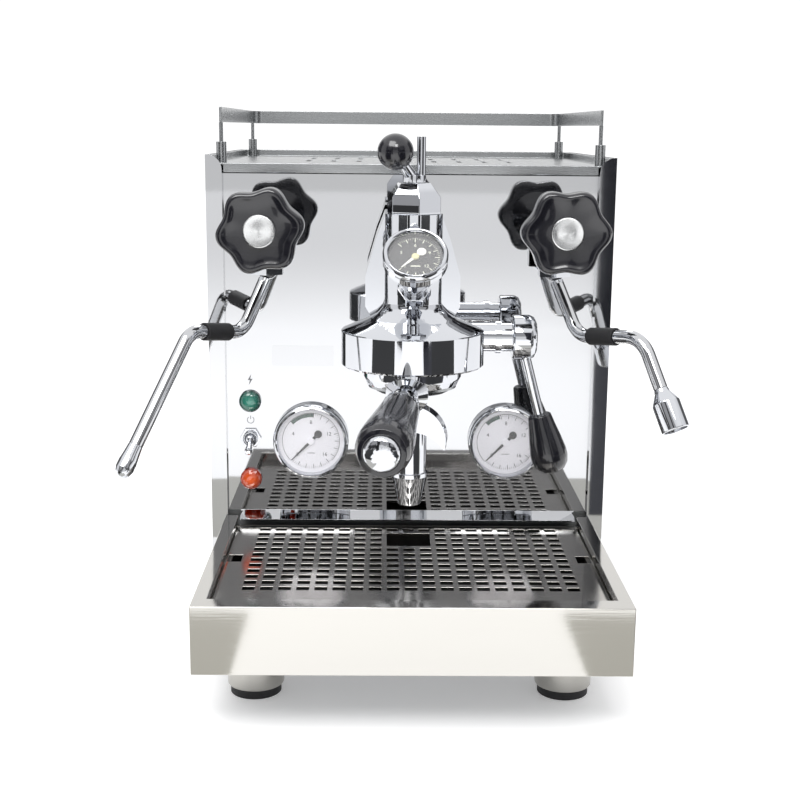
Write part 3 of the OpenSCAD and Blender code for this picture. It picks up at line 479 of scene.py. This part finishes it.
def ring_of(count, sweep, r0, r1, width):
    """Ticks from lower left clockwise over the sweep in degrees."""
    a = math.radians(225)
    along, across = Vector((math.cos(a), math.sin(a))), Vector((-math.sin(a), math.cos(a))) * width / 2
    made = flat_shape([tuple(along * r0 + across), tuple(along * r1 + across),
                       tuple(along * r1 - across), tuple(along * r0 - across)])
    bpy.ops.object.mode_set(mode="EDIT")
    bpy.ops.mesh.select_all(action="SELECT")
    bpy.ops.mesh.spin(steps=count - 1, angle=math.radians(sweep), dupli=True, center=(0, 0, 0),
                      axis=(0, 1, 0))
    bpy.ops.object.mode_set(mode="OBJECT")
    return made


def figures(labels, r, size):
    """Generic numbers, evenly spread over 270 degrees."""
    made = []
    for k, label in enumerate(labels):
        a = math.radians(225 - 270 * k / (len(labels) - 1))
        bpy.ops.object.select_all(action="DESELECT")
        bpy.ops.object.text_add(location=(r * math.cos(a) / 1000, 0, (r * math.sin(a) - size * 0.34) / 1000),
                                rotation=(math.pi / 2, 0, 0))
        text = bpy.context.object
        text.data.body = label
        text.data.size = size / 1000
        text.data.align_x = "CENTER"
        text.data.extrude = 0.00003
        bpy.ops.object.convert(target="MESH")
        made.append(bpy.context.object)
    return made


def arc_shape(a0, a1, r0, r1, steps=24):
    """A band of a ring between two angles in degrees."""
    at = [math.radians(a0 + (a1 - a0) * k / steps) for k in range(steps + 1)]
    return flat_shape([(r1 * math.cos(a), r1 * math.sin(a)) for a in at]
                      + [(r0 * math.cos(a), r0 * math.sin(a)) for a in reversed(at)])


dials_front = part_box("panel_gauge_dials")[0][1]
cases_lo, cases_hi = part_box("panel_gauge_cases")
case_r = (cases_hi[2] - cases_lo[2]) / 2
gauge_z = (cases_lo[2] + cases_hi[2]) / 2
big = case_r * 1000
cans = []
for side, sign in (("left", -1), ("right", 1)):
    gauge_x = (cases_lo[0] + cases_hi[0]) / 2 + sign * ((cases_hi[0] - cases_lo[0]) / 2 - case_r)
    can = lathe([(0, -38), (big - 2.5, -38), (big - 2.5, -9.6), (big - 0.4, -9.6), (big, -9.1), (big, -5.2),
                 (big - 0.7, -4.9), (big - 0.7, -4.2), (big, -3.9), (big, -2.2), (big - 0.4, -1.1),
                 (big - 1.1, -0.35), (big - 2, 0), (big - 2.8, -0.25), (big - 3.3, -1.0), (big - 3.4, -6.5),
                 (0, -6.5)], 96)
    can.matrix_world = Matrix.Translation((gauge_x, cases_lo[1], gauge_z)) @ face_on
    bpy.ops.object.select_all(action="DESELECT")
    can.select_set(True)
    bpy.context.view_layer.objects.active = can
    bpy.ops.object.transform_apply(location=True, rotation=True, scale=True)
    cans.append(can)
    on_dial = Matrix.Translation((gauge_x, dials_front - 0.00004, gauge_z))
    marks = [ring_of(17, 270, 18.2, 21.6, 0.42), ring_of(65, 270, 20.0, 21.6, 0.22),
             arc_shape(224, -44, 21.6, 21.9, 60)] + figures(["0", "4", "8", "12", "16"], 14.6, 4.0)
    marks.append(flat_shape([(-3, -9.6), (3, -9.6), (3, -9.2), (-3, -9.2)]))
    settle(joined(marks), f"{side}_gauge_print", on_dial, ink, "white_dial", "casing")
    settle(arc_shape(136, 84 if side == "left" else 104, 18.6, 21.4), f"{side}_gauge_arc", on_dial, arc_ink,
           "white_dial", "casing")
    # The panel needles' hubs take the same white finish, painted glow and all.
    hub = lathe([(0, -1.2), (2.6, -1.2), (2.8, -0.8), (2.8, 0.3), (2.3, 0.8), (0, 0.9)], 32)
    needle_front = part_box(f"{side}_needle")[0][1]
    settle(hub, f"{side}_needle_hub", Matrix.Translation((gauge_x, needle_front, gauge_z)) @ face_on,
           dial_white_painted_glow, "white_dial", f"{side}_needle")
settle(joined(cans), "panel_gauge_cans", Matrix.Identity(4), chrome, "chrome_plate", "casing",
       "panel_gauge_cases")

# The group's gauge is tilted up at the user. Its can is chromed too, its dial slate, its marks pale.
case_lo, case_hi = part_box("group_gauge_case")
small = (case_hi[0] - case_lo[0]) / 2 * 1000
tilt = math.radians(45)
looks = Vector((0, -math.cos(tilt), math.sin(tilt)))
needle_joint = next(j for j in frame["joints"] if j["name"] == "group_needle_turn")
face_at = Vector(needle_joint["pos_m"])
upturned = Matrix.Rotation(-tilt, 4, "X")
tilted = Matrix.Translation(face_at) @ upturned
can = lathe([(0, -13), (small - 2.5, -13), (small - 2.5, -9.6), (small - 0.4, -9.6), (small, -9.1),
             (small, -5.0), (small - 0.6, -4.7), (small - 0.6, -4.1), (small, -3.8), (small, -2.0),
             (small - 0.4, -1.0), (small - 1.1, -0.3), (small - 1.8, 0), (small - 2.6, -0.25),
             (small - 3.2, -1.0), (small - 3.4, -6.5), (0, -6.5)], 96)
settle(can, "group_gauge_can", tilted @ face_on, chrome, "chrome_plate", "casing", "group_gauge_case")
dial_depth, hub_depth = 0.00526, 0.0042            # behind the bezel's front, along the tilted axis
marks = [ring_of(13, 270, 12.2, 15.4, 0.5), ring_of(49, 270, 14.2, 15.4, 0.25)]
marks += figures(["0", "3", "6", "9", "12"], 9.6, 3.3)
marks.append(flat_shape([(-3, -7.4), (3, -7.4), (3, -6.6), (-3, -6.6)]))
settle(joined(marks), "group_gauge_print", tilted @ Matrix.Translation((0, dial_depth, 0)), pale_ink,
       "white_needle", "casing")
hub_paint = finish_of("yellowish_hub_paint", base_color=linear("#d9d3a0"))
vary(hub_paint, 300, even, 0.3, 0.45)
hub = lathe([(0, -1.2), (2.2, -1.2), (2.4, -0.8), (2.4, 0.2), (2.0, 0.6), (0, 0.7)], 32)
settle(hub, "group_needle_hub", Matrix.Translation(face_at - looks * hub_depth) @ upturned @ face_on,
       hub_paint, "white_needle", "group_needle")

# ---- lamps and switch ----
# Moulded lenses pressed into the panel: the green one is a smooth dome with a step, the orange
# one has facets. Between them a toggle switch with a chromed bushing and bat is held by its nut.


def lens_finish(name, rim, core, node, reach):
    """A tinted lens that is brighter round its middle, where the lamp glows behind it."""
    lo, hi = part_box(node)
    made = finish_of(name, coat_weight=1.0, coat_roughness=0.03)
    tree = made.node_tree
    shader = tree.nodes["Principled BSDF"]
    middle = ((lo[0] + hi[0]) / 2, lo[1], (lo[2] + hi[2]) / 2)
    where = add(tree, "ShaderNodeTexCoord")
    centred = add(tree, "ShaderNodeMapping", {"Location": [-at / reach for at in middle],
                                              "Scale": [1 / reach] * 3}, {"Vector": where.outputs["Object"]})
    glow = add(tree, "ShaderNodeTexGradient", {"gradient_type": "SPHERICAL"}, {"Vector": centred.outputs[0]})
    mixed = add(tree, "ShaderNodeMix", {"data_type": "RGBA", 6: linear(rim), 7: linear(core)},
                {"Factor": glow.outputs["Fac"]})
    tree.links.new(mixed.outputs[2], shader.inputs["Base Color"])
    tree.links.new(mixed.outputs[2], shader.inputs["Emission Color"])
    shader.inputs["Emission Strength"].default_value = 0.06
    vary(made, 80, even, 0.05, 0.12)
    return made


lens_seat = 0.0066                                  # the lens's foot, behind its front
for colour, rim, core, reach, steps, smooth in (("green", "#0a3a31", "#3d9480", 0.009, 64, 34),
                                                ("orange", "#8e1f08", "#f0642c", 0.0095, 14, 0)):
    tinted = lens_finish(f"{colour}_lens", rim, core, f"{colour}_lamp", reach)
    wear_slot(tinted, f"{colour}_lens")
    lo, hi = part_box(f"{colour}_lamp")
    r = (hi[0] - lo[0]) / 2 * 1000
    lens = lathe([(0, -21), (r - 1.5, -21), (r - 1.5, 0.1), (r, 0.1), (r, 2.4), (r - 0.5, 3.0),
                  (r - 0.9, 4.2), (r - 2.2, 5.3), (r - 3.6, 6.0), (r - 5.2, 6.4), (0, 6.6)], steps, smooth)
    seat_at = ((lo[0] + hi[0]) / 2, lo[1] + lens_seat, (lo[2] + hi[2]) / 2)
    settle(lens, f"{colour}_lens_moulding", Matrix.Translation(seat_at) @ face_on, tinted,
           f"{colour}_lens", "casing", f"{colour}_lamp")
softened("toggle_body", 0.0003)

# ---- marks on the panel ----
# A bolt etched above the green lamp, a power sign above the switch, and a small blank badge of
# satin stainless glued to the panel. All three are thinner than paper.
etched = finish_of("etched_mark", base_color=linear("#8b8c8f"), metallic=0.3)
vary(etched, 200, even, 0.4, 0.6)
panel_setback, sunk = 0.005, 0.00002
sheet_y = front + panel_setback - sunk
lamp_lo, lamp_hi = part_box("green_lamp")
lamp_x, lamp_z = (lamp_lo[0] + lamp_hi[0]) / 2, (lamp_lo[2] + lamp_hi[2]) / 2
bolt_rise, power_drop = 0.0165, 0.0148
bolt = flat_shape([(0.9, 4.2), (-1.9, -0.5), (-0.2, -0.5), (-1.0, -4.4), (1.9, 0.5), (0.2, 0.5)])
settle(bolt, "bolt_mark", Matrix.Translation((lamp_x, sheet_y, lamp_z + bolt_rise)), etched,
       "mirror_steel", "casing")
power = joined([arc_shape(125, 415, 2.3, 2.8),
                flat_shape([(-0.25, 0.6), (0.25, 0.6), (0.25, 3.3), (-0.25, 3.3)])])
settle(power, "power_mark", Matrix.Translation((lamp_x, sheet_y, lamp_z - power_drop)), etched,
       "mirror_steel", "casing")
badge_left, badge_z = 0.08, 0.2105
badge_steel = finish_of("satin_badge_stainless", base_color=linear("#c3c4c6"), metallic=1.0)
vary(badge_steel, 60, even, 0.05, 0.08, 0.03)
badge = flat_shape([(-23, -7), (-22.5, -7.5), (22.5, -7.5), (23, -7),
                    (23, 7), (22.5, 7.5), (-22.5, 7.5), (-23, 7)])
rim = badge.modifiers.new("edge", "BEVEL")
rim.width = 0.00002
bpy.ops.object.modifier_apply(modifier=rim.name)
settle(badge, "blank_badge", Matrix.Translation((mid - badge_left, sheet_y, badge_z)), badge_steel,
       "mirror_steel", "casing")

# ---- inside and at the back ----
# The boiler is drawn copper gone slightly dull, the pump is painted grey, the tank is a clear
# moulding, and the control box and the mains socket are matt mouldings with a fine grain.
for name, slot, colour, scale, low, high, bump, surface in (
        ("dull_copper", "copper_shell", "#b87333", 40, 0.25, 0.45, 0.1, {"metallic": 1.0}),
        ("grey_pump_paint", "painted_pump", "#7d8084", 150, 0.35, 0.5, 0.1, {}),
        ("clear_tank_plastic", "clear_plastic", "#e9eef0", 60, 0.05, 0.15, 0.0,
         {"transmission_weight": 0.9}),
        ("grey_moulding", "grey_plastic", "#4a4d52", 500, 0.45, 0.6, 0.2, {}),
        ("black_moulding", "black_plastic", "#1c1c1e", 500, 0.45, 0.6, 0.2, {})):
    skin = finish_of(name, base_color=linear(colour), **surface)
    vary(skin, scale, even, low, high, bump)
    wear_slot(skin, slot)
